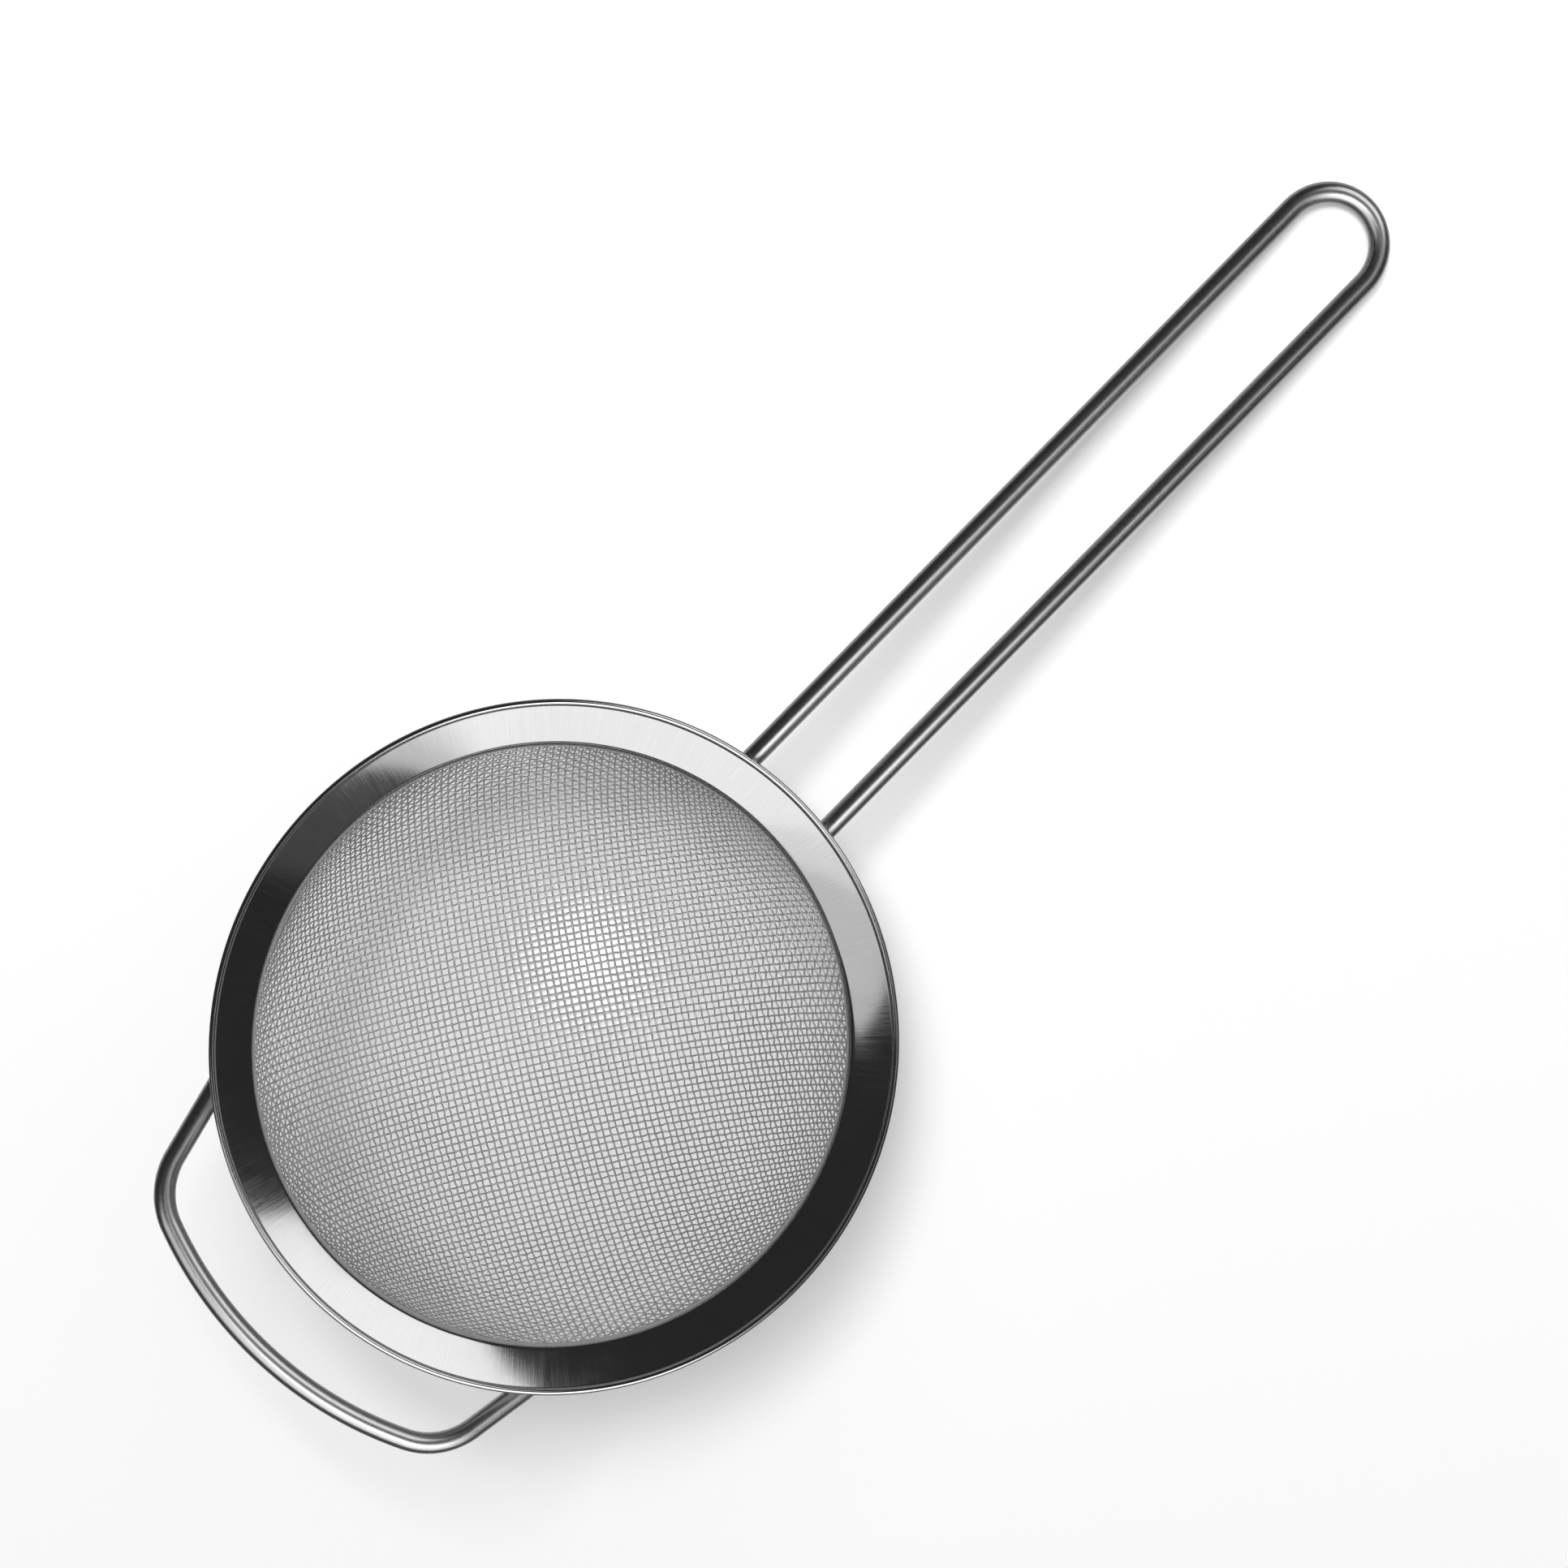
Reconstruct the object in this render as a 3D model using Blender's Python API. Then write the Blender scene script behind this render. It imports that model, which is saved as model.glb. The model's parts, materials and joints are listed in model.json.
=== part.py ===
"""Tea strainer: pressed collar, woven wire bowl, retaining band, bent wire handle and front rest.

Every piece is drawn in the strainer's own frame: the collar's axis is Z, its top is at z = 0,
the handle runs out along +X and the front rest lies on the -X side. The finished strainer is
then laid down as it lies on a table, on the bowl and the end of the handle.
All dimensions are in millimetres and become metres when a mesh is made.
"""
import math

import bpy
from mathutils import Matrix, Vector

MM = 0.001
GAP = 0.3                       # clearance between neighbouring pieces
TURN_STEPS = 64                 # facets round every turned piece
WIRE_SIDES = 12                 # facets round every bent wire

# Collar: one pressed sheet, with a bead at the rim, a funnel flange and a short neck.
RIM_R = 40.0
SHEET = 0.4
BEAD_R = 0.45
FLANGE_OUT_R = 39.15
FLANGE_OUT_Z = -0.62
FLANGE_IN_R = 35.35
FLANGE_IN_Z = -2.75
FLANGE_CROWN = 0.16
NECK_R = 34.55
NECK_BOTTOM_Z = -4.3
FLANGE_STEPS = 5
NECK_BEND_STEPS = 4
BEAD_STEPS = 9

# Bowl: wire cloth drawn to a slightly flattened half sphere, standing in as a thin shell.
CLOTH = 0.45
BOWL_DRAFT = 0.15               # how much the bowl has already narrowed beside the neck
BOWL_R = NECK_R + SHEET + GAP + BOWL_DRAFT + CLOTH / 2
BOWL_DEPTH = 34.9
BOWL_CENTRE_Z = -1.3
BOWL_TOP_Z = -3.65
BOWL_STEPS = 11

# Retaining band: holds the edge of the cloth against the collar's neck.
BAND_IN_R = BOWL_R + CLOTH / 2 + GAP
BAND_WALL = 0.45
BAND_OUT_R = BAND_IN_R + BAND_WALL
BAND_TOP_Z = -3.05
BAND_BOTTOM_Z = -6.1
BAND_EDGE = 0.12

# Wires of the handle and the front rest.
WIRE_R = 1.23
WIRE_CHAMFER = 0.25
WIRE_Z = -4.2                   # height of the wires' centres where they pass under the rim

HANDLE_HALF_WIDTH = 6.15
HANDLE_RISE = 0.16              # height gained for each millimetre away from the rim
HANDLE_ROOT_X = math.sqrt((BAND_OUT_R + GAP) ** 2 - (HANDLE_HALF_WIDTH - WIRE_R) ** 2)
HANDLE_TIP_X = 134.83
HANDLE_BEND_STEPS = 20
HANDLE_LEG_STEPS = 4

REST_BAR_R = 48.2               # the crossbar follows a circle about the collar's axis
REST_LEG_X = 33.3
REST_LEG_Y = 24.5
REST_LEG_ANGLE = math.radians(12.5)
REST_CORNER_R = 8.5
REST_RISE = 0.1
REST_END_R = BAND_OUT_R + 1.15
REST_LEG_STEPS = 2
REST_CORNER_STEPS = 8
REST_BAR_STEPS = 10

# Weld beads between the wires and the underside of the flange.
WELD_R = 38.3
WELD_HALF_LENGTH = 1.15
WELD_HALF_WIDTH = 0.85
WELD_HALF_HEIGHT = 0.5
WELD_LEAN = math.radians(19.0)
WELD_STEPS = 12
WELD_RINGS = 6


def clear_scene():
    """Start from an empty scene."""
    for obj in list(bpy.data.objects):
        bpy.data.objects.remove(obj, do_unlink=True)


def make_material(name, colour, roughness):
    """A bare metal with its own colour and polish."""
    material = bpy.data.materials.new(name)
    material.use_nodes = True
    shader = material.node_tree.nodes["Principled BSDF"]
    shader.inputs["Base Color"].default_value = (*colour, 1.0)
    shader.inputs["Metallic"].default_value = 1.0
    shader.inputs["Roughness"].default_value = roughness
    return material


def make_object(name, points, faces, material):
    """Turn points in millimetres and faces into one smooth-shaded object."""
    mesh = bpy.data.meshes.new(name)
    mesh.from_pydata([Vector(point) * MM for point in points], [], faces)
    mesh.validate()
    mesh.update()
    mesh.shade_smooth()
    mesh.materials.append(material)
    obj = bpy.data.objects.new(name, mesh)
    bpy.context.collection.objects.link(obj)
    return obj


def turned_ring(outline):
    """Turn a closed (radius, height) outline round Z. The outline runs anticlockwise."""
    count = len(outline)
    points = []
    for step in range(TURN_STEPS):
        angle = math.tau * step / TURN_STEPS
        points += [(r * math.cos(angle), r * math.sin(angle), z) for r, z in outline]
    faces = []
    for step in range(TURN_STEPS):
        here = step * count
        there = (step + 1) % TURN_STEPS * count
        for i in range(count):
            j = (i + 1) % count
            faces.append((here + i, there + i, there + j, here + j))
    return points, faces


def bead_outline():
    """Round bead at the rim, from its underside outwards, up and over to the groove."""
    centre_r = RIM_R - BEAD_R
    start = -math.pi / 2
    end = math.pi + math.asin((-BEAD_R - FLANGE_OUT_Z) / BEAD_R)
    outline = []
    for step in range(BEAD_STEPS + 1):
        angle = start + (end - start) * step / BEAD_STEPS
        outline.append((centre_r + BEAD_R * math.cos(angle), -BEAD_R + BEAD_R * math.sin(angle)))
    return outline


def collar_face():
    """Upper face of the sheet, from the rim's groove down the flange and into the neck."""
    face = []
    for step in range(FLANGE_STEPS + 1):
        t = step / FLANGE_STEPS
        r = FLANGE_OUT_R + (FLANGE_IN_R - FLANGE_OUT_R) * t
        z = FLANGE_OUT_Z + (FLANGE_IN_Z - FLANGE_OUT_Z) * t + 4.0 * FLANGE_CROWN * t * (1.0 - t)
        face.append((r, z))
    bend_r = FLANGE_IN_R - NECK_R
    for step in range(1, NECK_BEND_STEPS + 1):
        angle = math.pi / 2 * step / NECK_BEND_STEPS
        drop = bend_r * (1.0 - math.cos(angle))
        face.append((FLANGE_IN_R - bend_r * math.sin(angle), FLANGE_IN_Z - drop))
    face.append((NECK_R, NECK_BOTTOM_Z))
    return face


def sheet_back(face):
    """The sheet's other side: the face moved one thickness outwards and down."""
    back = []
    for i, (r, z) in enumerate(face):
        before = face[max(i - 1, 0)]
        after = face[min(i + 1, len(face) - 1)]
        run = Vector((after[0] - before[0], after[1] - before[1])).normalized()
        back.append((r - run.y * SHEET, z + run.x * SHEET))
    return back


def build_collar(material):
    """Pressed collar with its rim bead, funnel flange and neck."""
    face = collar_face()
    back = sheet_back(face)
    outline = bead_outline() + face[1:] + back[:0:-1]
    points, faces = turned_ring(outline)
    return make_object("rim_collar", points, faces, material)


def bowl_arc(offset):
    """Half of the bowl's section, from the edge down towards the axis, moved out by offset."""
    radius = BOWL_R + offset
    depth = BOWL_DEPTH + offset
    start = math.asin((BOWL_CENTRE_Z - BOWL_TOP_Z) / depth)
    arc = []
    for step in range(BOWL_STEPS):
        angle = start + (math.pi / 2 - start) * step / BOWL_STEPS
        arc.append((radius * math.cos(angle), BOWL_CENTRE_Z - depth * math.sin(angle)))
    return arc


def build_bowl(material):
    """Drawn bowl of wire cloth, as a shell of the cloth's thickness."""
    half = CLOTH / 2
    outer = bowl_arc(half)
    inner = bowl_arc(-half)
    outline = outer[::-1] + inner
    count = len(outline)
    points, faces = turned_ring(outline)
    faces = [f for i, f in enumerate(faces) if (i + 1) % count != 0]
    outer_pole = len(points)
    points.append((0.0, 0.0, BOWL_CENTRE_Z - BOWL_DEPTH - half))
    inner_pole = len(points)
    points.append((0.0, 0.0, BOWL_CENTRE_Z - BOWL_DEPTH + half))
    for step in range(TURN_STEPS):
        here = step * count
        there = (step + 1) % TURN_STEPS * count
        faces.append((outer_pole, there, here))
        faces.append((inner_pole, here + count - 1, there + count - 1))
    return make_object("mesh_bowl", points, faces, material)


def build_band(material):
    """Plain band with broken edges."""
    r_in, r_out, e = BAND_IN_R, BAND_OUT_R, BAND_EDGE
    low, high = BAND_BOTTOM_Z, BAND_TOP_Z
    outline = [
        (r_in + e, low), (r_out - e, low), (r_out, low + e), (r_out, high - e),
        (r_out - e, high), (r_in + e, high), (r_in, high - e), (r_in, low + e),
    ]
    points, faces = turned_ring(outline)
    return make_object("mesh_retaining_band", points, faces, material)


def swept_wire(path):
    """Round wire along a path in a nearly level plane, with chamfered square-cut ends."""
    path = [Vector(point) for point in path]
    first = (path[1] - path[0]).normalized()
    last = (path[-1] - path[-2]).normalized()
    stations = [(path[0], first, WIRE_R - WIRE_CHAMFER)]
    stations.append((path[0] + first * WIRE_CHAMFER, first, WIRE_R))
    for before, here, after in zip(path, path[1:], path[2:]):
        along = (here - before).normalized() + (after - here).normalized()
        stations.append((here, along.normalized(), WIRE_R))
    stations.append((path[-1] - last * WIRE_CHAMFER, last, WIRE_R))
    stations.append((path[-1], last, WIRE_R - WIRE_CHAMFER))
    points = []
    for centre, along, radius in stations:
        side = along.cross(Vector((0.0, 0.0, 1.0))).normalized()
        up = side.cross(along)
        for step in range(WIRE_SIDES):
            angle = math.tau * (step + 0.5) / WIRE_SIDES
            points.append(centre + side * radius * math.cos(angle) + up * radius * math.sin(angle))
    faces = [tuple(range(WIRE_SIDES))[::-1]]
    for ring in range(len(stations) - 1):
        here = ring * WIRE_SIDES
        for i in range(WIRE_SIDES):
            j = (i + 1) % WIRE_SIDES
            faces.append((here + i, here + j, here + WIRE_SIDES + j, here + WIRE_SIDES + i))
    end = (len(stations) - 1) * WIRE_SIDES
    faces.append(tuple(range(end, end + WIRE_SIDES)))
    return points, [face[::-1] for face in faces]


def handle_height(x):
    """Height of the handle wire's centre at a distance from the collar's axis."""
    return WIRE_Z + HANDLE_RISE * (x - RIM_R)


def handle_path():
    """Out along one leg, round the end and back along the other leg."""
    bend_x = HANDLE_TIP_X - HANDLE_HALF_WIDTH
    leg = []
    for step in range(HANDLE_LEG_STEPS):
        leg.append(HANDLE_ROOT_X + (bend_x - HANDLE_ROOT_X) * step / HANDLE_LEG_STEPS)
    flat = [(x, -HANDLE_HALF_WIDTH) for x in leg]
    for step in range(HANDLE_BEND_STEPS + 1):
        angle = -math.pi / 2 + math.pi * step / HANDLE_BEND_STEPS
        flat.append((bend_x + HANDLE_HALF_WIDTH * math.cos(angle), HANDLE_HALF_WIDTH * math.sin(angle)))
    flat += [(x, HANDLE_HALF_WIDTH) for x in reversed(leg)]
    return [(x, y, handle_height(x)) for x, y in flat]


def rest_height(x):
    """Height of the front rest wire's centre."""
    return WIRE_Z + REST_RISE * (-x - REST_LEG_X)


def rest_leg():
    """A point on the +Y leg, the way the leg runs outwards, and the way in to the loop."""
    on_leg = Vector((-REST_LEG_X, REST_LEG_Y))
    along = Vector((-math.cos(REST_LEG_ANGLE), -math.sin(REST_LEG_ANGLE)))
    inward = Vector((math.sin(REST_LEG_ANGLE), -math.cos(REST_LEG_ANGLE)))
    return on_leg, along, inward


def reach(start, along, radius):
    """How far along a line from start it comes to a radius from the collar's axis."""
    b = start.dot(along)
    return -b + math.sqrt(b * b - start.length_squared + radius * radius)


def rest_half_path():
    """Front rest from the end of its leg to the middle of the crossbar, on the +Y side."""
    on_leg, along, inward = rest_leg()
    leg_start = on_leg + along * reach(on_leg, along, REST_END_R)
    offset_start = on_leg + inward * REST_CORNER_R
    travel = reach(offset_start, along, REST_BAR_R - REST_CORNER_R)
    corner = offset_start + along * travel
    leg_end = on_leg + along * travel
    flat = [leg_start.lerp(leg_end, step / REST_LEG_STEPS) for step in range(REST_LEG_STEPS)]
    start = math.atan2(leg_end.y - corner.y, leg_end.x - corner.x)
    end = math.atan2(corner.y, corner.x)
    for step in range(REST_CORNER_STEPS):
        angle = start + (end - start) * step / REST_CORNER_STEPS
        flat.append(corner + Vector((math.cos(angle), math.sin(angle))) * REST_CORNER_R)
    for step in range(REST_BAR_STEPS + 1):
        angle = end + (math.pi - end) * step / REST_BAR_STEPS
        flat.append(Vector((math.cos(angle), math.sin(angle))) * REST_BAR_R)
    return [(p.x, p.y, rest_height(p.x)) for p in flat]


def rest_path():
    """The whole front rest: one half and its mirror image."""
    half = rest_half_path()
    return half + [(x, -y, z) for x, y, z in reversed(half[:-1])]


def flange_back_height(radius):
    """Height of the flange's underside at a radius."""
    back = sheet_back(collar_face())
    for (r_out, z_out), (r_in, z_in) in zip(back, back[1:]):
        if r_in <= radius <= r_out:
            return z_out + (z_in - z_out) * (r_out - radius) / (r_out - r_in)
    return BAND_TOP_Z


def build_weld(name, azimuth, wire_z, material):
    """Flattened bead of weld filling the wedge between a wire and the flange above it."""
    points = [(0.0, 0.0, 1.0)]
    for ring in range(1, WELD_RINGS):
        polar = math.pi * ring / WELD_RINGS
        for step in range(WELD_STEPS):
            angle = math.tau * step / WELD_STEPS
            out = math.sin(polar)
            points.append((out * math.cos(angle), out * math.sin(angle), math.cos(polar)))
    points.append((0.0, 0.0, -1.0))
    faces = []
    for i in range(WELD_STEPS):
        j = (i + 1) % WELD_STEPS
        faces.append((0, 1 + i, 1 + j))
        for ring in range(WELD_RINGS - 2):
            top = 1 + ring * WELD_STEPS
            low = top + WELD_STEPS
            faces.append((top + i, low + i, low + j, top + j))
        low = 1 + (WELD_RINGS - 2) * WELD_STEPS
        faces.append((low + i, len(points) - 1, low + j))
    height = (flange_back_height(WELD_R) + wire_z + WIRE_R) / 2
    size = Matrix.Diagonal((WELD_HALF_LENGTH, WELD_HALF_WIDTH, WELD_HALF_HEIGHT, 1.0))
    lean = Matrix.Rotation(-WELD_LEAN, 4, "Y")
    place = Matrix.Rotation(azimuth, 4, "Z") @ Matrix.Translation((WELD_R, 0.0, height)) @ lean @ size
    return make_object(name, [place @ Vector(point) for point in points], faces, material)


def build_welds(material):
    """One bead at each of the four wire ends."""
    handle_azimuth = math.asin(HANDLE_HALF_WIDTH / WELD_R)
    handle_z = handle_height(WELD_R * math.cos(handle_azimuth))
    on_leg, along, _ = rest_leg()
    under_rim = on_leg + along * reach(on_leg, along, WELD_R)
    rest_azimuth = math.atan2(under_rim.y, under_rim.x)
    rest_z = rest_height(under_rim.x)
    welds = [
        build_weld("handle_weld_left", handle_azimuth, handle_z, material),
        build_weld("handle_weld_right", -handle_azimuth, handle_z, material),
        build_weld("rest_weld_left", rest_azimuth, rest_z, material),
        build_weld("rest_weld_right", -rest_azimuth, rest_z, material),
    ]
    return welds


def table_tilt():
    """Lean at which the bowl and the end of the handle both touch a table."""
    reach_r = BOWL_R + CLOTH / 2
    reach_z = BOWL_DEPTH + CLOTH / 2
    low, high = 0.0, math.pi / 4
    while high - low > 1e-9:
        lean = (low + high) / 2
        sine, cosine = math.sin(lean), math.cos(lean)
        bowl = -BOWL_CENTRE_Z * cosine + math.hypot(reach_r * sine, reach_z * cosine)
        tip = HANDLE_TIP_X * sine - handle_height(HANDLE_TIP_X) * cosine + WIRE_R
        if tip < bowl:
            low = lean
        else:
            high = lean
    return (low + high) / 2


def lay_on_table(objects):
    """Lean the strainer towards its handle, then centre it over the origin, standing on z = 0."""
    lean = Matrix.Rotation(table_tilt(), 4, "Y")
    for obj in objects:
        obj.data.transform(lean)
    corners = [vertex.co for obj in objects for vertex in obj.data.vertices]
    middle_x = (min(c.x for c in corners) + max(c.x for c in corners)) / 2
    middle_y = (min(c.y for c in corners) + max(c.y for c in corners)) / 2
    bottom = min(c.z for c in corners)
    shift = Matrix.Translation((-middle_x, -middle_y, -bottom))
    for obj in objects:
        obj.data.transform(shift)
        obj.data.update()


def main():
    """Build every piece and lay the strainer down."""
    clear_scene()
    brushed = make_material("brushed_collar_steel", (0.62, 0.62, 0.63), 0.28)
    cloth = make_material("wire_cloth_steel", (0.58, 0.58, 0.59), 0.32)
    band = make_material("retaining_band_steel", (0.56, 0.56, 0.57), 0.35)
    handle = make_material("handle_wire_steel", (0.66, 0.66, 0.67), 0.12)
    rest = make_material("rest_wire_steel", (0.66, 0.66, 0.67), 0.14)
    weld = make_material("weld_steel", (0.45, 0.44, 0.43), 0.45)
    pieces = [build_collar(brushed), build_bowl(cloth), build_band(band)]
    pieces.append(make_object("handle_wire", *swept_wire(handle_path()), handle))
    pieces.append(make_object("front_rest_wire", *swept_wire(rest_path()), rest))
    pieces += build_welds(weld)
    lay_on_table(pieces)


main()
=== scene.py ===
"""Looks of the tea strainer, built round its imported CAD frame.

Every piece is drawn in the collar's own frame, as the CAD was: the collar's axis is Z, its
top is at z = 0, the handle runs out along +X and the front rest lies on the -X side. The
whole frame is then laid where the CAD put it. Sizes are in millimetres until a mesh is made;
the studio's own sizes are in metres.
"""
import json
import math

import bpy
import numpy as np
from mathutils import Matrix, Vector


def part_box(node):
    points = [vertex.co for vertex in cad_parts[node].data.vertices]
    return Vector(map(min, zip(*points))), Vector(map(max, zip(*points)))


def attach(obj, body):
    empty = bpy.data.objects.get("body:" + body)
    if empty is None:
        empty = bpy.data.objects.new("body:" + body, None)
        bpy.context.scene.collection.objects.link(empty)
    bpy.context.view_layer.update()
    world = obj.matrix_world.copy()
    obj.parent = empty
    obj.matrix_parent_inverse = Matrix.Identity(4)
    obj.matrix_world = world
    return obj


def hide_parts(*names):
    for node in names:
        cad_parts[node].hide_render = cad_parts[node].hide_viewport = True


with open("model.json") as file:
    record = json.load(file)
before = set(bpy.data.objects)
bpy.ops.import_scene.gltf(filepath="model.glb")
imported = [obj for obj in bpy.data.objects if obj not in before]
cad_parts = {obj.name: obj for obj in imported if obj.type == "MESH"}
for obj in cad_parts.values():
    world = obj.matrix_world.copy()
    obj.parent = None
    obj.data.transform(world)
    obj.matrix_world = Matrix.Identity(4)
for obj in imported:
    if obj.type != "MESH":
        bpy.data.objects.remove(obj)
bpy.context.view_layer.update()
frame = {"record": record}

MM = 0.001
EDGE_STEPS = 4

# Collar: one pressed sheet with a bead at the rim, a funnel flange and a short neck.
RIM_R = 40.0
SHEET = 0.4
BEAD_R = 0.37
BEAD_START = -90.0
BEAD_END = 190.0
BEAD_STEPS = 30
GROOVE_R = 0.16
GROOVE_START = math.radians(80.0)
GROOVE_STEPS = 8
FLANGE_OUT_R = 39.15
FLANGE_OUT_Z = -0.62
FLANGE_SLOPE = math.radians(29.3)
FLANGE_CROWN = 0.06
FLANGE_IN_R = 35.25
FLANGE_STEPS = 40
NECK_R = 34.55
NECK_BEND_STEPS = 20
NECK_BOTTOM_Z = -4.3
NECK_LIP_R = 0.12
TURN_STEPS = 384
COLLAR_SHARP = math.radians(38.0)

# Bowl of plain-woven wire cloth, drawn to a slightly flattened half sphere.
PITCH = 0.90
CLOTH_WIRE_R = 0.11
BOWL_R = 35.625
BOWL_DEPTH = 34.9
BOWL_CENTRE_Z = -1.3
BOWL_TOP_Z = -3.7
WEAVE_TURN = math.radians(-34.3)
WEAVE_SIDES = 6
WEAVE_STEPS = 4
WEAVE_SHORTEST = 3
CLOTH_PARTS = 4

# How far the wires of the cloth wander sideways: a slow and a quick wave along each wire, in
# radians for each crossing, and how far the waves are shifted from one wire to the next.
WANDER = 0.035
WANDER_SLOW = 0.31
WANDER_SLOW_SHIFT = 2.4
WANDER_QUICK = 0.83
WANDER_QUICK_SHIFT = 5.1
WANDER_QUICK_SHARE = 0.6

# Retaining band round the edge of the cloth, spot welded through to the neck.
BAND_IN_R = 36.15
BAND_OUT_R = 36.6
BAND_TOP_Z = -3.05
BAND_BOTTOM_Z = -6.1
BAND_EDGE_R = 0.12
BAND_SPOTS = 16

# Wires of the handle and the front rest.
WIRE_R = 1.23
WIRE_Z = -4.2
WIRE_SIDES = 40
WIRE_END_R = 0.25
WIRE_SHARP = math.radians(50.0)
HANDLE_HALF_WIDTH = 6.15
HANDLE_RISE = 0.16
HANDLE_ROOT_X = 36.57
HANDLE_TIP_X = 134.83
HANDLE_BEND_STEPS = 72
HANDLE_LEG_STEPS = 24
REST_BAR_R = 48.2
REST_LEG_X = 33.3
REST_LEG_Y = 24.5
REST_LEG_ANGLE = math.radians(12.5)
REST_CORNER_R = 8.5
REST_RISE = 0.1
REST_END_R = 37.75
REST_LEG_STEPS = 6
REST_CORNER_STEPS = 30
REST_BAR_STEPS = 40

# Weld beads between the wires and the underside of the flange.
WELD_HALF = (1.15, 0.85, 0.5)
WELD_LEAN = math.radians(-19.0)
WELD_LUMP = 0.10
WELD_RINGS = 20
WELD_SIDES = 32

# Studio. The metal mirrors some panels, and the others light the floor. Each panel has its
# azimuth and elevation in degrees in the collar's frame, its width and height, its glow and
# its roll in degrees.
MIRRORED_AWAY = 0.80
MIRRORED_PANELS = {
    "softbox_rest_side": (205.5, 40.0, 1.64, 0.71, 0.68, 0.0),
    "softbox_rest_core": (218.0, 38.0, 0.92, 0.60, 0.26, 0.0),
    "softbox_rest_heart": (221.0, 38.0, 0.72, 0.54, 0.26, 0.0),
    "softbox_handle_side": (-4.0, 43.0, 0.56, 0.46, 1.25, 0.0),
    "panel_overhead": (-50.0, 61.5, 0.70, 0.26, 0.28, -40.0),
    "panel_stripe": (232.7, 63.5, 0.32, 0.44, 2.4, 37.3),
    "panel_side": (-98.0, 24.0, 0.50, 0.50, 0.05, 0.0),
}
FLOOR_LAMPS_AWAY = 1.30
FLOOR_LAMPS = {
    "floor_key": (94.0, 70.0, 0.36, 0.36, 29.0, 0.0),
    "floor_fill": (60.0, 75.0, 1.40, 1.40, 0.95, 0.0),
}
FLOOR_HALF = 3.0
FLOOR_SHINE = 0.28
WORLD_DARK = 0.026
WORLD_DARK_ABOVE = -0.15
WORLD_GLOW = 0.42
WORLD_GLOW_BELOW = -0.65

# Camera, looking down on the strainer from the side of the handle.
CAMERA_PLACE = (0.08043, 0.06963, 0.43271)
CAMERA_RIGHT = (0.70691, -0.70667, -0.03008)
CAMERA_BACK = (0.20071, 0.15963, 0.96656)
CAMERA_SENSOR = 36.0
CAMERA_LENS = 83.85


def collar_frame():
    """The collar's own frame, taken from where the CAD frame lies."""
    mounts = {mount["name"]: mount for mount in frame["record"]["mounts"]}
    up = -Vector(mounts["cup_rest"]["axis"]).normalized()
    side = Vector((0.0, 1.0, 0.0))
    along = side.cross(up)
    low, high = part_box("mesh_retaining_band")
    origin = (low + high) / 2 - up * (BAND_TOP_Z + BAND_BOTTOM_Z) / 2 * MM
    return Matrix.Translation(origin) @ Matrix((along, side, up)).transposed().to_4x4()


COLLAR = collar_frame()


# ---------------------------------------------------------------- meshes

def mark_points(mesh, label, vectors):
    """Keep a vector for each point of a mesh, for its material."""
    layer = mesh.attributes.new(label, "FLOAT_VECTOR", "POINT")
    layer.data.foreach_set("vector", np.asarray(vectors, dtype=np.float32).ravel())


def add_piece(name, points, quads, material, nodes, caps=()):
    """One smooth-shaded piece from points in millimetres, standing for some CAD nodes."""
    points = np.asarray(points, dtype=np.float64)
    turn = np.array(COLLAR.to_3x3())
    placed = points @ turn.T * MM + np.array(COLLAR.translation)
    faces = [tuple(face) for face in quads]
    faces += [tuple(cap) for cap in caps]
    mesh = bpy.data.meshes.new(name)
    mesh.from_pydata(placed.tolist(), [], faces)
    mesh.update()
    mesh.shade_smooth()
    mesh.materials.append(material)
    mark_points(mesh, "collar_mm", points)
    obj = bpy.data.objects.new(name, mesh)
    bpy.context.scene.collection.objects.link(obj)
    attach(obj, "root")
    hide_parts(*nodes)
    return obj


def ring_quads(rings, count, wrap_rings=False):
    """Faces between neighbouring rings of points; each ring closes on itself."""
    here = np.arange(rings if wrap_rings else rings - 1)[:, None] * count
    there = (np.arange(1, here.shape[0] + 1)[:, None] % rings) * count
    i = np.arange(count)[None, :]
    j = (i + 1) % count
    return np.stack([here + i, there + i, there + j, here + j], axis=-1).reshape(-1, 4)


def turned(outline):
    """Turn a closed (radius, height) outline round Z. The outline runs anticlockwise."""
    outline = np.array(outline)
    angle = np.arange(TURN_STEPS)[:, None] * (math.tau / TURN_STEPS)
    x = outline[None, :, 0] * np.cos(angle)
    y = outline[None, :, 0] * np.sin(angle)
    z = np.broadcast_to(outline[None, :, 1], x.shape)
    points = np.stack([x, y, z], axis=-1).reshape(-1, 3)
    return points, ring_quads(TURN_STEPS, len(outline), wrap_rings=True)


def arc(centre_r, centre_z, radius, start, end, steps):
    """Points along an arc of a section, angles in degrees."""
    angles = [math.radians(start + (end - start) * step / steps) for step in range(steps + 1)]
    return [(centre_r + radius * math.cos(a), centre_z + radius * math.sin(a)) for a in angles]


def unit_rows(vectors):
    """The same directions, each one unit long."""
    return vectors / np.linalg.norm(vectors, axis=1)[:, None]


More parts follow.
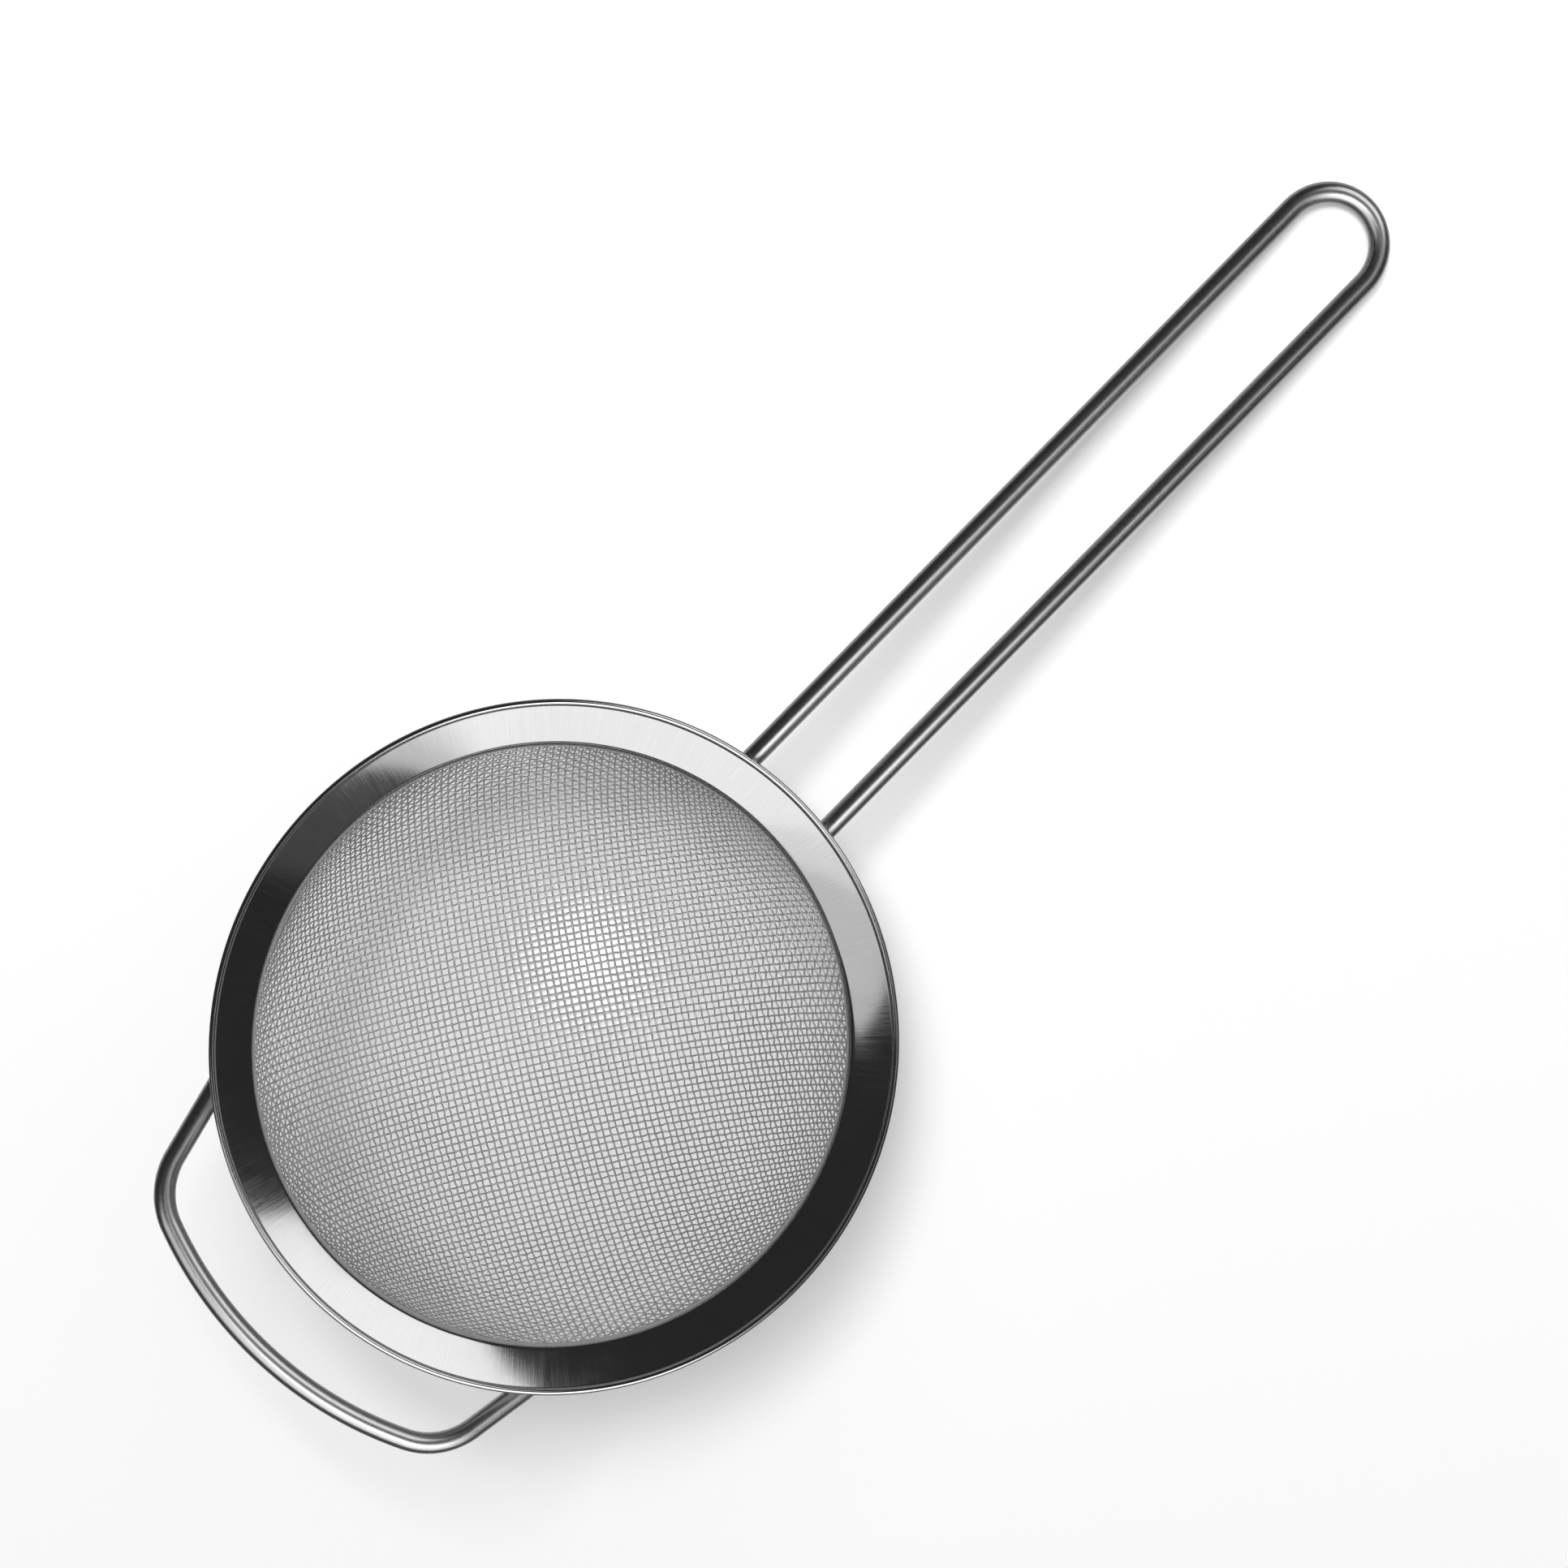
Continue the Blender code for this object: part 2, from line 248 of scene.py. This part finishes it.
def sweep(path, radius, sides, ups=(0.0, 0.0, 1.0)):
    """Round tube along a path; returns points, faces, and (cos, sin, run) for each point."""
    path = np.asarray(path, dtype=np.float64)
    radius = np.broadcast_to(np.asarray(radius, dtype=np.float64), (len(path),))
    along = unit_rows(np.gradient(path, axis=0))
    side = unit_rows(np.cross(along, np.broadcast_to(ups, path.shape)))
    up = np.cross(side, along)
    angle = np.arange(sides) * (math.tau / sides)
    cosine, sine = np.cos(angle), np.sin(angle)
    ring = side[:, None, :] * cosine[None, :, None] + up[:, None, :] * sine[None, :, None]
    points = path[:, None, :] + ring * radius[:, None, None]
    run = np.concatenate([[0.0], np.cumsum(np.linalg.norm(np.diff(path, axis=0), axis=1))])
    marks = np.zeros((len(path), sides, 3))
    marks[:, :, 0] = cosine
    marks[:, :, 1] = sine
    marks[:, :, 2] = run[:, None]
    quads = ring_quads(len(path), sides)[:, ::-1]
    return points.reshape(-1, 3), quads, marks.reshape(-1, 3)


def end_caps(first, end, sides):
    """The two flat ends of a tube whose points are numbered from first to just before end."""
    return [range(first, first + sides), range(end - 1, end - 1 - sides, -1)]


# ---------------------------------------------------------------- collar, cloth and band

def collar_face():
    """Upper face of the sheet: groove by the bead, flange, and the round bend into the neck."""
    width = FLANGE_OUT_R - FLANGE_IN_R
    drop = width * math.tan(FLANGE_SLOPE)
    slope_out = math.atan(math.tan(FLANGE_SLOPE) - 4.0 * FLANGE_CROWN / width)
    slope_in = math.atan(math.tan(FLANGE_SLOPE) + 4.0 * FLANGE_CROWN / width)
    face = []
    for step in range(1, GROOVE_STEPS + 1):
        angle = GROOVE_START + (slope_out - GROOVE_START) * step / GROOVE_STEPS
        back_off = GROOVE_R * (math.sin(angle) - math.sin(slope_out))
        rise = GROOVE_R * (math.cos(slope_out) - math.cos(angle))
        face.append((FLANGE_OUT_R + back_off, FLANGE_OUT_Z + rise))
    for step in range(1, FLANGE_STEPS + 1):
        t = step / FLANGE_STEPS
        z = FLANGE_OUT_Z - drop * t + 4.0 * FLANGE_CROWN * t * (1.0 - t)
        face.append((FLANGE_OUT_R - width * t, z))
    bend_r = (FLANGE_IN_R - NECK_R) / (1.0 - math.sin(slope_in))
    for step in range(1, NECK_BEND_STEPS + 1):
        angle = slope_in + (math.pi / 2 - slope_in) * step / NECK_BEND_STEPS
        r = FLANGE_IN_R - bend_r * (math.sin(angle) - math.sin(slope_in))
        z = FLANGE_OUT_Z - drop - bend_r * (math.cos(slope_in) - math.cos(angle))
        face.append((r, z))
    face.append((NECK_R, NECK_BOTTOM_Z + NECK_LIP_R))
    return face


def sheet_back(face):
    """The sheet's other side: the face moved one thickness outwards and down."""
    back = []
    for i, (r, z) in enumerate(face):
        before = face[max(i - 1, 0)]
        after = face[min(i + 1, len(face) - 1)]
        run = Vector((after[0] - before[0], after[1] - before[1])).normalized()
        back.append((r - run.y * SHEET, z + run.x * SHEET))
    return back


def build_collar(material):
    """Pressed collar. The back of its sheet comes out of the bead past the groove."""
    bead = arc(RIM_R - BEAD_R, -BEAD_R, BEAD_R, BEAD_START, BEAD_END, BEAD_STEPS)
    face = collar_face()
    back = sheet_back(face)[GROOVE_STEPS + 1:]
    e = NECK_LIP_R
    low = NECK_BOTTOM_Z + e
    lip = arc(NECK_R + e, low, e, 180.0, 270.0, EDGE_STEPS)[1:]
    lip += arc(NECK_R + SHEET - e, low, e, 270.0, 360.0, EDGE_STEPS)[:-1]
    points, quads = turned(bead + face + lip + back[::-1])
    collar = add_piece("pressed_collar", points, quads, material, ["rim_collar"])
    collar.data.set_sharp_from_angle(angle=COLLAR_SHARP)


def cloth_net(reach):
    """Crossings of the two sets of wires, as unit vectors from the bowl's centre.

    The wires keep their pitch and the cloth's square openings shear as it is drawn, so each
    crossing is the mirror image of the one diagonally before it, in the plane through the
    two crossings beside it. One quadrant is worked out; the others are its mirror images.
    """
    step = PITCH / BOWL_R
    quarter = np.zeros((reach + 1, reach + 1, 3))
    for i in range(reach + 1):
        quarter[i, 0] = (math.sin(i * step), 0.0, -math.cos(i * step))
        quarter[0, i] = (0.0, math.sin(i * step), -math.cos(i * step))
    for i in range(1, reach + 1):
        for j in range(1, reach + 1):
            across = np.cross(quarter[i - 1, j], quarter[i, j - 1])
            across /= np.linalg.norm(across)
            before = quarter[i - 1, j - 1]
            quarter[i, j] = before - 2.0 * before.dot(across) * across
    net = np.zeros((2 * reach + 1, 2 * reach + 1, 3))
    for i in range(-reach, reach + 1):
        for j in range(-reach, reach + 1):
            x, y, z = quarter[abs(i), abs(j)]
            net[i + reach, j + reach] = (math.copysign(x, i), math.copysign(y, j), z)
    return net


def cloth_wire(nodes, number, side):
    """Path of one wire and the bowl's normals along it, or None where no wire is left.

    The wire passes over and under the wires that it crosses, and is cut off at the bowl's edge.
    """
    count = len(nodes) - 1
    t = np.arange(WEAVE_STEPS * count + 1) / WEAVE_STEPS
    k = np.minimum(t.astype(int), count - 1)
    part = (t - k)[:, None]
    unit = unit_rows(nodes[k] * (1.0 - part) + nodes[k + 1] * part)
    cosine, sine = math.cos(WEAVE_TURN), math.sin(WEAVE_TURN)
    unit[:, :2] = unit[:, :2] @ np.array([[cosine, sine], [-sine, cosine]])
    half = np.array([BOWL_R, BOWL_R, BOWL_DEPTH])
    normal = unit_rows(unit / half)
    points = unit * half
    points[:, 2] += BOWL_CENTRE_Z
    sideways = unit_rows(np.cross(np.gradient(points, axis=0), normal))
    over = side * CLOTH_WIRE_R * np.cos(math.pi * (t + number))
    slow = np.sin(WANDER_SLOW * t + WANDER_SLOW_SHIFT * number)
    quick = np.sin(WANDER_QUICK * t + WANDER_QUICK_SHIFT * number + side)
    wander = WANDER * (slow + WANDER_QUICK_SHARE * quick)
    points = points + normal * over[:, None] + sideways * wander[:, None]
    inside = points[:, 2] < BOWL_TOP_Z
    middle = len(points) // 2
    start, stop = middle, middle
    while start > 0 and inside[start - 1]:
        start -= 1
    while stop < len(points) - 1 and inside[stop + 1]:
        stop += 1
    if not inside[middle] or stop - start < WEAVE_SHORTEST:
        return None
    return points[start:stop + 1], normal[start:stop + 1]


def build_cloth(material):
    """Both sets of wires, each split into a few pieces."""
    reach = int(BOWL_R * math.pi / 2 / PITCH) + 1
    net = cloth_net(reach)
    for name, side, rows in (("warp", 1.0, net.swapaxes(0, 1)), ("weft", -1.0, net)):
        wires = [cloth_wire(nodes, number, side) for number, nodes in enumerate(rows)]
        wires = [wire for wire in wires if wire]
        share = math.ceil(len(wires) / CLOTH_PARTS)
        for part in range(CLOTH_PARTS):
            points, quads, caps, base = [], [], [], 0
            for path, normals in wires[part * share:(part + 1) * share]:
                tube, faces, _ = sweep(path, CLOTH_WIRE_R, WEAVE_SIDES, normals)
                points.append(tube)
                quads.append(faces + base)
                end = base + len(tube)
                caps += end_caps(base, end, WEAVE_SIDES)
                base = end
            add_piece(
                f"wire_cloth_{name}_{part + 1}", np.concatenate(points),
                np.concatenate(quads).tolist(), material, ["mesh_bowl"], caps)


def build_band(material):
    """Plain band with rounded edges."""
    e = BAND_EDGE_R
    outline = arc(BAND_OUT_R - e, BAND_BOTTOM_Z + e, e, -90.0, 0.0, EDGE_STEPS)
    outline += arc(BAND_OUT_R - e, BAND_TOP_Z - e, e, 0.0, 90.0, EDGE_STEPS)
    outline += arc(BAND_IN_R + e, BAND_TOP_Z - e, e, 90.0, 180.0, EDGE_STEPS)
    outline += arc(BAND_IN_R + e, BAND_BOTTOM_Z + e, e, 180.0, 270.0, EDGE_STEPS)
    points, quads = turned(outline)
    node = "mesh_retaining_band"
    add_piece("cloth_band", points, quads, material, [node])


# ---------------------------------------------------------------- bent wires

def handle_height(x):
    """Height of the handle wire's centre at a distance from the collar's axis."""
    return WIRE_Z + HANDLE_RISE * (x - RIM_R)


def handle_path():
    """Out along one leg, round the end and back along the other leg."""
    bend_x = HANDLE_TIP_X - HANDLE_HALF_WIDTH
    leg = bend_x - HANDLE_ROOT_X
    legs = [HANDLE_ROOT_X + leg * step / HANDLE_LEG_STEPS for step in range(HANDLE_LEG_STEPS)]
    flat = [(x, -HANDLE_HALF_WIDTH) for x in legs]
    for step in range(HANDLE_BEND_STEPS + 1):
        angle = -math.pi / 2 + math.pi * step / HANDLE_BEND_STEPS
        x = bend_x + HANDLE_HALF_WIDTH * math.cos(angle)
        flat.append((x, HANDLE_HALF_WIDTH * math.sin(angle)))
    flat += [(x, HANDLE_HALF_WIDTH) for x in reversed(legs)]
    return [(x, y, handle_height(x)) for x, y in flat]


def rest_height(x):
    """Height of the front rest wire's centre."""
    return WIRE_Z + REST_RISE * (-x - REST_LEG_X)


def reach_to(start, along, radius):
    """How far along a line from start it comes to a radius from the collar's axis."""
    b = start.dot(along)
    return -b + math.sqrt(b * b - start.length_squared + radius * radius)


def rest_path():
    """Front rest: one leg, a corner, half the crossbar, and their mirror image."""
    on_leg = Vector((-REST_LEG_X, REST_LEG_Y))
    along = Vector((-math.cos(REST_LEG_ANGLE), -math.sin(REST_LEG_ANGLE)))
    inward = Vector((math.sin(REST_LEG_ANGLE), -math.cos(REST_LEG_ANGLE)))
    leg_start = on_leg + along * reach_to(on_leg, along, REST_END_R)
    offset_start = on_leg + inward * REST_CORNER_R
    travel = reach_to(offset_start, along, REST_BAR_R - REST_CORNER_R)
    corner = offset_start + along * travel
    leg_end = on_leg + along * travel
    flat = [leg_start.lerp(leg_end, step / REST_LEG_STEPS) for step in range(REST_LEG_STEPS)]
    start = math.atan2(leg_end.y - corner.y, leg_end.x - corner.x)
    end = math.atan2(corner.y, corner.x)
    for step in range(REST_CORNER_STEPS):
        angle = start + (end - start) * step / REST_CORNER_STEPS
        flat.append(corner + Vector((math.cos(angle), math.sin(angle))) * REST_CORNER_R)
    for step in range(REST_BAR_STEPS + 1):
        angle = end + (math.pi - end) * step / REST_BAR_STEPS
        flat.append(Vector((math.cos(angle), math.sin(angle))) * REST_BAR_R)
    half = [(p.x, p.y, rest_height(p.x)) for p in flat]
    return half + [(x, -y, z) for x, y, z in reversed(half[:-1])]


def rounded_ends(path):
    """Stations and radii of a wire whose cut ends have a small rounded edge."""
    path = [Vector(point) for point in path]
    first = (path[1] - path[0]).normalized()
    last = (path[-1] - path[-2]).normalized()
    edge = []
    for step in reversed(range(EDGE_STEPS)):
        angle = math.pi / 2 * step / EDGE_STEPS
        inset = WIRE_END_R * (1.0 - math.sin(angle))
        edge.append((inset, WIRE_R - WIRE_END_R * (1.0 - math.cos(angle))))
    head = [(path[0] + first * inset, radius) for inset, radius in edge]
    tail = [(path[-1] - last * inset, radius) for inset, radius in reversed(edge)]
    stations = head + [(point, WIRE_R) for point in path[1:-1]] + tail
    return [tuple(point) for point, _ in stations], [radius for _, radius in stations]


def build_wire(name, path, material, node):
    """One bent round wire."""
    stations, radii = rounded_ends(path)
    points, quads, marks = sweep(stations, radii, WIRE_SIDES)
    caps = end_caps(0, len(points), WIRE_SIDES)
    wire = add_piece(name, points, quads, material, [node], caps)
    wire.data.set_sharp_from_angle(angle=WIRE_SHARP)
    mark_points(wire.data, "wire_run", marks)


def weld_points(azimuth):
    """Points of a lumpy ball about one unit in radius, from its top to its bottom."""
    points = [(0.0, 0.0, 1.0)]
    for ring in range(1, WELD_RINGS):
        polar = math.pi * ring / WELD_RINGS
        out, high = math.sin(polar), math.cos(polar)
        for step in range(WELD_SIDES):
            a = math.tau * step / WELD_SIDES
            wave = math.sin(3.0 * a + 5.0 * polar + 7.0 * azimuth)
            lump = 1.0 - WELD_LUMP * (0.5 + 0.5 * wave * out)
            points.append((out * math.cos(a) * lump, out * math.sin(a) * lump, high * lump))
    points.append((0.0, 0.0, -1.0))
    return points


def build_weld(node, material):
    """Lumpy weld bead inside the box that the CAD bead fills."""
    low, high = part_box(node)
    centre = (COLLAR.inverted() @ ((low + high) / 2)) / MM
    azimuth = math.atan2(centre.y, centre.x)
    lean = Matrix.Rotation(azimuth, 4, "Z") @ Matrix.Rotation(WELD_LEAN, 4, "Y")
    place = Matrix.Translation(centre) @ lean @ Matrix.Diagonal((*WELD_HALF, 1.0))
    points = [tuple(place @ Vector(point)) for point in weld_points(azimuth)]
    last = len(points) - 1
    faces = []
    for i in range(WELD_SIDES):
        j = (i + 1) % WELD_SIDES
        faces.append((0, 1 + i, 1 + j))
        for ring in range(WELD_RINGS - 2):
            top = 1 + ring * WELD_SIDES
            below = top + WELD_SIDES
            faces.append((top + i, below + i, below + j, top + j))
        faces.append((last - WELD_SIDES + i, last, last - WELD_SIDES + j))
    add_piece(node + "_bead", points, faces, material, [node])


# ---------------------------------------------------------------- materials

class Nodes:
    """Short way to add nodes to a material and join them."""

    def __init__(self, name):
        self.material = bpy.data.materials.new(name)
        self.material.use_nodes = True
        self.tree = self.material.node_tree
        self.shader = self.tree.nodes["Principled BSDF"]

    def add(self, kind, **settings):
        node = self.tree.nodes.new(kind)
        for key, value in settings.items():
            setattr(node, key, value)
        return node

    def put(self, value, socket):
        if isinstance(value, bpy.types.NodeSocket):
            self.tree.links.new(value, socket)
        elif value is not None:
            socket.default_value = value

    def math(self, operation, a, b=None):
        node = self.add("ShaderNodeMath", operation=operation)
        self.put(a, node.inputs[0])
        self.put(b, node.inputs[1])
        return node.outputs[0]

    def total(self, a, b):
        return self.math("ADD", a, b)

    def times(self, a, b):
        return self.math("MULTIPLY", a, b)

    def length(self, a, b):
        return self.math("SQRT", self.total(self.times(a, a), self.times(b, b)))

    def marks(self, name):
        """A vector that every point of the piece carries."""
        return self.add("ShaderNodeAttribute", attribute_name=name).outputs["Vector"]

    def split(self, vector):
        node = self.add("ShaderNodeSeparateXYZ")
        self.put(vector, node.inputs[0])
        return node.outputs

    def stretched(self, around_x, around_y, run, fine, long):
        """Place for a noise, scaled one way round the piece and another way along it."""
        node = self.add("ShaderNodeCombineXYZ")
        scaled = self.times(around_x, fine), self.times(around_y, fine), self.times(run, long)
        for value, socket in zip(scaled, node.inputs):
            self.put(value, socket)
        return node.outputs[0]

    def noise(self, vector, scale, detail, roughness):
        node = self.add("ShaderNodeTexNoise")
        self.put(vector, node.inputs["Vector"])
        node.inputs["Scale"].default_value = scale
        node.inputs["Detail"].default_value = detail
        node.inputs["Roughness"].default_value = roughness
        return node.outputs["Fac"]

    def spread(self, value, low, high, from_low=0.3, from_high=0.7):
        """A value clamped and stretched to run from low to high."""
        node = self.add("ShaderNodeMapRange", clamp=True)
        self.put(value, node.inputs["Value"])
        node.inputs["From Min"].default_value = from_low
        node.inputs["From Max"].default_value = from_high
        node.inputs["To Min"].default_value = low
        node.inputs["To Max"].default_value = high
        return node.outputs["Result"]

    def mix(self, factor, a, b):
        """A colour between two others, each a tuple or a socket."""
        node = self.add("ShaderNodeMix", data_type="RGBA")
        self.put(factor, node.inputs["Factor"])
        for value, socket in ((a, node.inputs[6]), (b, node.inputs[7])):
            self.put((*value, 1.0) if isinstance(value, tuple) else value, socket)
        return node.outputs[2]

    def metal(self, colour, roughness, height, depth, metallic=1.0):
        """Finish the shader: colour, roughness, and relief of a depth in millimetres."""
        relief = self.add("ShaderNodeBump")
        relief.inputs["Distance"].default_value = depth * MM
        relief.inputs["Strength"].default_value = 1.0
        self.put(height, relief.inputs["Height"])
        self.put(colour, self.shader.inputs["Base Color"])
        self.put(roughness, self.shader.inputs["Roughness"])
        self.put(relief.outputs["Normal"], self.shader.inputs["Normal"])
        self.shader.inputs["Metallic"].default_value = metallic
        return self.material


def grey(value, blue=0.0):
    """A grey, or one with a trace of blue."""
    return (value, value, value + blue)


def brushed_collar():
    """Sheet brushed from the bowl outwards: fine lines along the slope, close side by side."""
    n = Nodes("collar_brushed_steel")
    place = n.marks("collar_mm")
    x, y, z = n.split(place)
    radius = n.length(x, y)
    run = n.math("SUBTRACT", radius, z)
    around_x = n.math("DIVIDE", x, radius)
    around_y = n.math("DIVIDE", y, radius)
    lines = n.noise(n.stretched(around_x, around_y, run, 300.0, 0.5), 1.0, 3.0, 0.6)
    bands = n.noise(n.stretched(around_x, around_y, run, 90.0, 0.25), 1.0, 2.0, 0.5)
    cloud = n.noise(place, 0.22, 3.0, 0.55)
    colour = n.mix(n.spread(lines, 0.0, 1.0), grey(0.64, 0.005), grey(0.70))
    rough = n.total(n.spread(lines, 0.07, 0.14), n.spread(cloud, 0.0, 0.05))
    height = n.total(n.times(lines, 0.6), n.times(bands, 0.5))
    return n.metal(colour, rough, height, depth=0.002)


def drawn_wire(name):
    """Polished drawn wire: long faint die lines, small rub marks and slight clouding."""
    n = Nodes(name)
    around_x, around_y, run = n.split(n.marks("wire_run"))
    place = n.marks("collar_mm")
    lines = n.noise(n.stretched(around_x, around_y, run, 6.0, 0.03), 1.0, 3.0, 0.5)
    rub = n.noise(place, 1.6, 4.0, 0.6)
    cloud = n.noise(place, 0.12, 2.0, 0.5)
    colour = n.mix(n.spread(cloud, 0.0, 1.0), grey(0.648, 0.0045), grey(0.72, 0.005))
    rough = n.total(n.spread(lines, 0.25, 0.33), n.spread(rub, 0.0, 0.05, 0.45, 0.75))
    return n.metal(colour, rough, lines, depth=0.003)


def cloth_steel():
    """Bright woven wire, duller in places.

    The small share of it that isn't metallic stands for light thrown to and fro between wires.
    """
    n = Nodes("cloth_wire_steel")
    place = n.marks("collar_mm")
    fine = n.noise(place, 2.2, 2.0, 0.5)
    cloud = n.noise(place, 0.15, 3.0, 0.5)
    colour = n.mix(n.spread(cloud, 0.0, 1.0), grey(0.67, 0.005), grey(0.77))
    return n.metal(colour, n.spread(fine, 0.32, 0.44), fine, depth=0.004, metallic=0.82)


def band_steel():
    """Rolled band: lines round it, and the round marks of the spot welds."""
    n = Nodes("band_rolled_steel")
    x, y, z = n.split(n.marks("collar_mm"))
    radius = n.length(x, y)
    around_x = n.math("DIVIDE", x, radius)
    around_y = n.math("DIVIDE", y, radius)
    lines = n.noise(n.stretched(around_x, around_y, z, 6.0, 9.0), 1.0, 4.0, 0.6)
    cell = n.times(n.math("ARCTAN2", y, x), BAND_SPOTS / math.tau)
    offset = n.math("SUBTRACT", n.math("FRACT", n.total(cell, 100.0)), 0.5)
    along = n.times(offset, math.tau * BAND_OUT_R / BAND_SPOTS)
    away = n.length(along, n.math("SUBTRACT", z, (BAND_TOP_Z + BAND_BOTTOM_Z) / 2))
    spot = n.spread(away, 1.0, 0.0, 0.55, 0.80)
    halo = n.spread(away, 1.0, 0.0, 0.7, 1.5)
    plain = n.mix(n.spread(lines, 0.0, 1.0), grey(0.54, 0.005), grey(0.63))
    tinted = n.mix(n.times(halo, 0.6), plain, (0.48, 0.40, 0.30))
    colour = n.mix(n.times(spot, 0.6), tinted, grey(0.50, 0.01))
    rough = n.total(n.spread(lines, 0.24, 0.36), n.times(spot, 0.12))
    height = n.math("SUBTRACT", n.times(lines, 0.15), spot)
    return n.metal(colour, rough, height, depth=0.03)


def weld_steel():
    """Weld metal: straw and blue heat tint, a fine crust and a rippled surface."""
    n = Nodes("weld_bead_steel")
    place = n.marks("collar_mm")
    ripple = n.noise(place, 2.6, 4.0, 0.6)
    tint = n.noise(place, 0.9, 2.0, 0.5)
    warm = n.mix(n.spread(tint, 0.0, 1.0, 0.35, 0.5), (0.46, 0.37, 0.25), (0.45, 0.44, 0.43))
    colour = n.mix(n.spread(tint, 0.0, 0.6, 0.52, 0.68), warm, (0.28, 0.31, 0.40))
    return n.metal(colour, n.spread(ripple, 0.32, 0.58), ripple, depth=0.06)


def floor_paint():
    """Pale matt floor that glows faintly, so that it comes out almost white."""
    n = Nodes("pale_floor")
    n.shader.inputs["Base Color"].default_value = (*grey(0.87), 1.0)
    n.shader.inputs["Roughness"].default_value = 0.9
    n.shader.inputs["Specular IOR Level"].default_value = 0.0
    n.shader.inputs["Emission Color"].default_value = (*grey(1.0), 1.0)
    n.shader.inputs["Emission Strength"].default_value = FLOOR_SHINE
    return n.material


# ---------------------------------------------------------------- studio

def build_floor():
    """The plain floor that the strainer lies on. The metal mirrors the world's glow instead."""
    mesh = bpy.data.meshes.new("floor")
    corners = ((-1, -1), (1, -1), (1, 1), (-1, 1))
    points = [(x * FLOOR_HALF, y * FLOOR_HALF, 0.0) for x, y in corners]
    mesh.from_pydata(points, [], [(0, 1, 2, 3)])
    mesh.materials.append(floor_paint())
    floor = bpy.data.objects.new("floor", mesh)
    bpy.context.scene.collection.objects.link(floor)
    floor.visible_glossy = False


def add_panel(name, placing, distance, mirrored):
    """A soft rectangular light that faces the collar, for the metal to mirror or for the floor."""
    azimuth, elevation, width, height, glow, roll = placing
    azimuth, elevation, roll = (math.radians(angle) for angle in (azimuth, elevation, roll))
    level = Vector((-math.sin(azimuth), math.cos(azimuth), 0.0))
    ahead = Vector((math.cos(azimuth), math.sin(azimuth), 0.0))
    away = ahead * math.cos(elevation) + Vector((0.0, 0.0, math.sin(elevation)))
    facing = Matrix((level, away.cross(level), away)).transposed().to_4x4()
    data = bpy.data.lights.new(name, "AREA")
    data.shape = "RECTANGLE"
    data.size = width
    data.size_y = height
    data.energy = glow * width * height * math.pi
    lamp = bpy.data.objects.new(name, data)
    bpy.context.scene.collection.objects.link(lamp)
    rolled = facing @ Matrix.Rotation(roll, 4, "Z")
    lamp.matrix_world = COLLAR @ Matrix.Translation(away * distance) @ rolled
    lamp.visible_glossy = mirrored
    lamp.visible_diffuse = not mirrored


def build_world():
    """Dark studio for metal to mirror, with the glow of the lit floor well below the horizon."""
    world = bpy.data.worlds.new("studio")
    bpy.context.scene.world = world
    world.use_nodes = True
    tree = world.node_tree
    place = tree.nodes.new("ShaderNodeTexCoord")
    split = tree.nodes.new("ShaderNodeSeparateXYZ")
    tree.links.new(place.outputs["Generated"], split.inputs[0])
    strength = tree.nodes.new("ShaderNodeMapRange")
    strength.interpolation_type = "SMOOTHSTEP"
    tree.links.new(split.outputs["Z"], strength.inputs["Value"])
    strength.inputs["From Min"].default_value = WORLD_GLOW_BELOW
    strength.inputs["From Max"].default_value = WORLD_DARK_ABOVE
    strength.inputs["To Min"].default_value = WORLD_GLOW
    strength.inputs["To Max"].default_value = WORLD_DARK
    back = tree.nodes["Background"]
    back.inputs["Color"].default_value = (1.0, 1.0, 1.0, 1.0)
    tree.links.new(strength.outputs["Result"], back.inputs["Strength"])


def place_camera():
    """Set the camera up, with its right and its back made square to each other."""
    data = bpy.data.cameras.new("camera")
    data.sensor_width = CAMERA_SENSOR
    data.lens = CAMERA_LENS
    camera = bpy.data.objects.new("camera", data)
    bpy.context.scene.collection.objects.link(camera)
    back = Vector(CAMERA_BACK).normalized()
    up = back.cross(Vector(CAMERA_RIGHT)).normalized()
    facing = Matrix((up.cross(back), up, back)).transposed().to_4x4()
    camera.matrix_world = Matrix.Translation(Vector(CAMERA_PLACE)) @ facing
    bpy.context.scene.camera = camera


def main():
    """Build every piece, then the studio round them."""
    build_collar(brushed_collar())
    build_cloth(cloth_steel())
    build_band(band_steel())
    build_wire("loop_handle", handle_path(), drawn_wire("handle_drawn_wire"), "handle_wire")
    build_wire("front_rest", rest_path(), drawn_wire("rest_drawn_wire"), "front_rest_wire")
    weld = weld_steel()
    for node in ("handle_weld_left", "handle_weld_right", "rest_weld_left", "rest_weld_right"):
        build_weld(node, weld)
    build_floor()
    build_world()
    for name, placing in MIRRORED_PANELS.items():
        add_panel(name, placing, MIRRORED_AWAY, mirrored=True)
    for name, placing in FLOOR_LAMPS.items():
        add_panel(name, placing, FLOOR_LAMPS_AWAY, mirrored=False)
    place_camera()
    bpy.context.scene.view_settings.view_transform = "Standard"


main()
